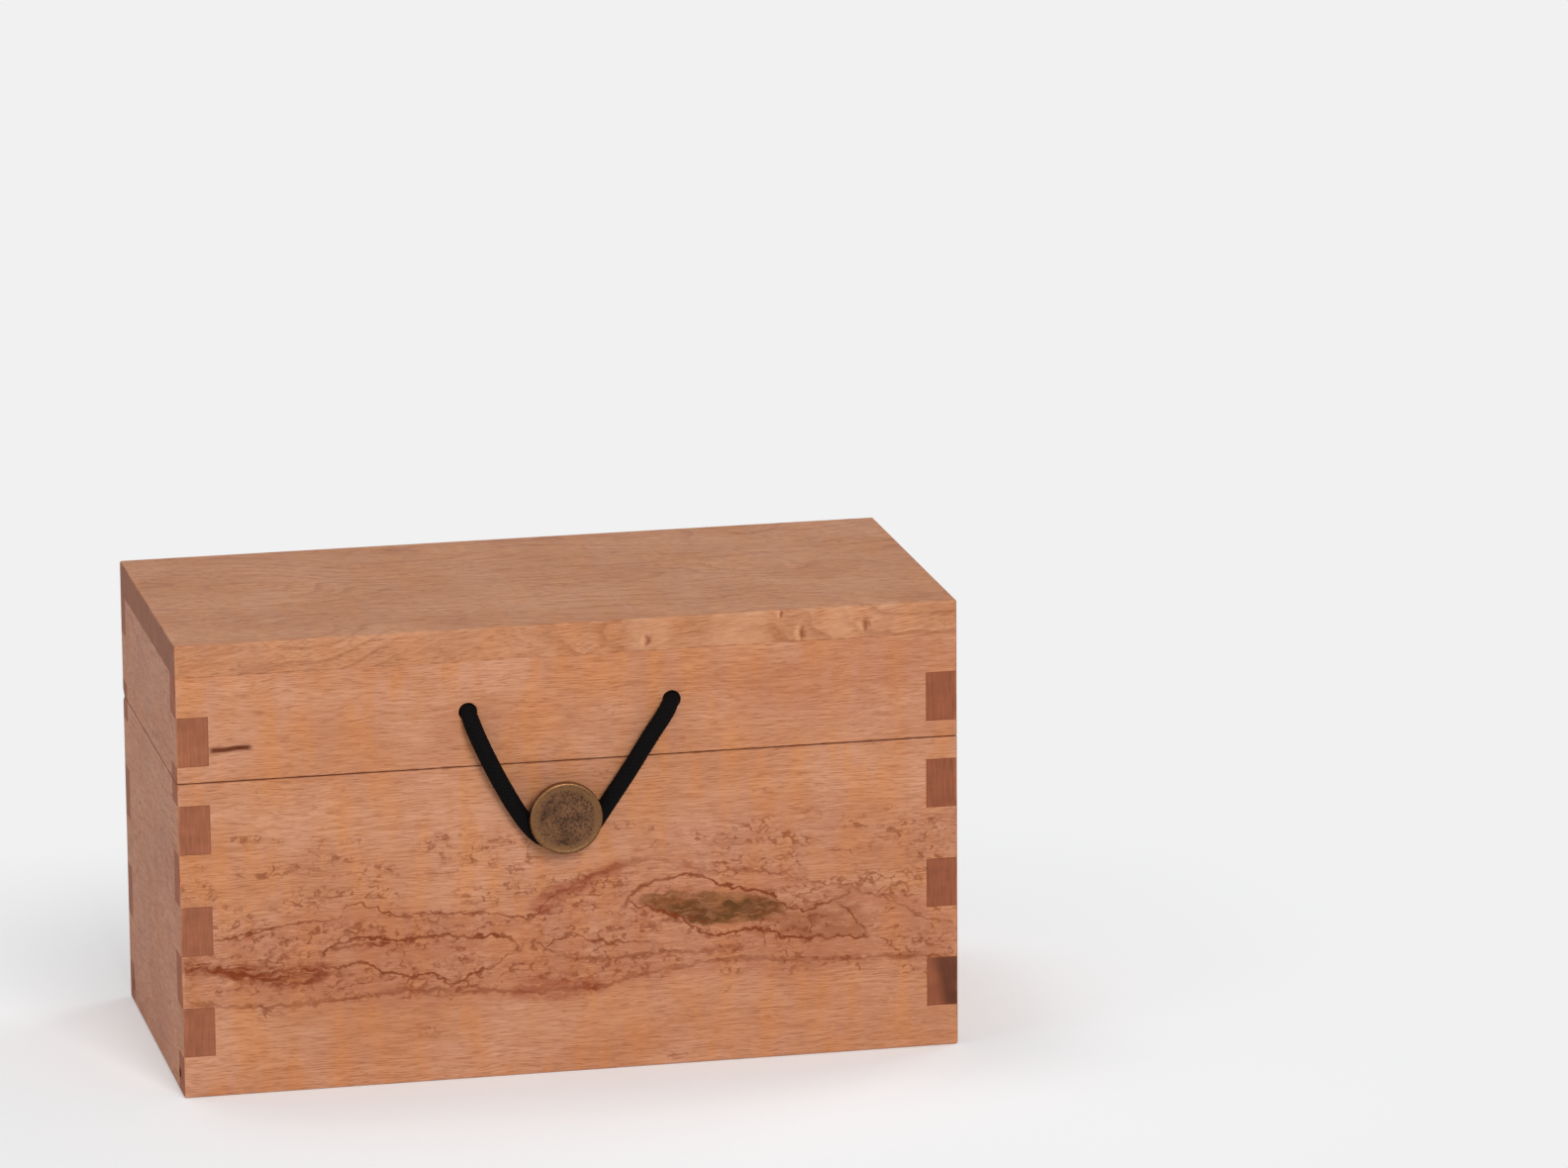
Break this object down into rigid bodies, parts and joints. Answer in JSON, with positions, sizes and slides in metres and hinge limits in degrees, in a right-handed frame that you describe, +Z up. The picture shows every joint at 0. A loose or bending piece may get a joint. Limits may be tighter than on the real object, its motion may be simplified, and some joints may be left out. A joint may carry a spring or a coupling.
{
  "type": "wooden gift box",
  "caption": "Small hinged keepsake box of finger-jointed figured wood; an elastic loop on the lid hooks over a brass button to keep it shut.",
  "frame": {"origin": "on the surface that the box stands on, in the middle of its footprint, with the button at the front counted in the footprint", "axes": "+Z up, +X along the width to the right, front with the button towards -Y, hinges towards +Y"},
  "size_m": [0.1934, 0.0984, 0.1134],
  "materials": {
    "figured_wood": "satin oiled",
    "floor_panel": "satin oiled",
    "button_brass": "antique satin",
    "hinge_brass": "satin",
    "screw_steel": "zinc plated",
    "elastic": "braided sleeve"
  },
  "bodies": {
    "body": {"body_front": "figured_wood", "body_back": "figured_wood", "body_left_end": "figured_wood", "body_right_end": "figured_wood", "bottom_panel": "floor_panel", "button": "button_brass", "button_screw": "screw_steel", "button_washer": "screw_steel", "left_hinge_body_leaf": "hinge_brass", "right_hinge_body_leaf": "hinge_brass", "left_hinge_pin": "hinge_brass", "right_hinge_pin": "hinge_brass", "hinge_body_screws": "hinge_brass"},
    "lid": {"lid_top": "figured_wood", "lid_front": "figured_wood", "lid_back": "figured_wood", "lid_left_end": "figured_wood", "lid_right_end": "figured_wood", "left_hinge_lid_leaf": "hinge_brass", "right_hinge_lid_leaf": "hinge_brass", "hinge_lid_screws": "hinge_brass", "left_cord_end": "elastic", "right_cord_end": "elastic"},
    "loop": {"elastic_loop": "elastic"}
  },
  "joints": [
    {"name": "lid_hinge", "type": "hinge", "parent": "body", "child": "lid", "pos_m": [0, 0.04755, 0.07905], "axis": [-1, 0, 0], "range_deg": [0, 98]},
    {"name": "loop_swing", "type": "hinge", "parent": "lid", "child": "loop", "pos_m": [0, -0.04235, 0.0927], "axis": [-1, 0, 0], "range_deg": [0, 75], "deforming": ["elastic_loop"]}
  ]
}
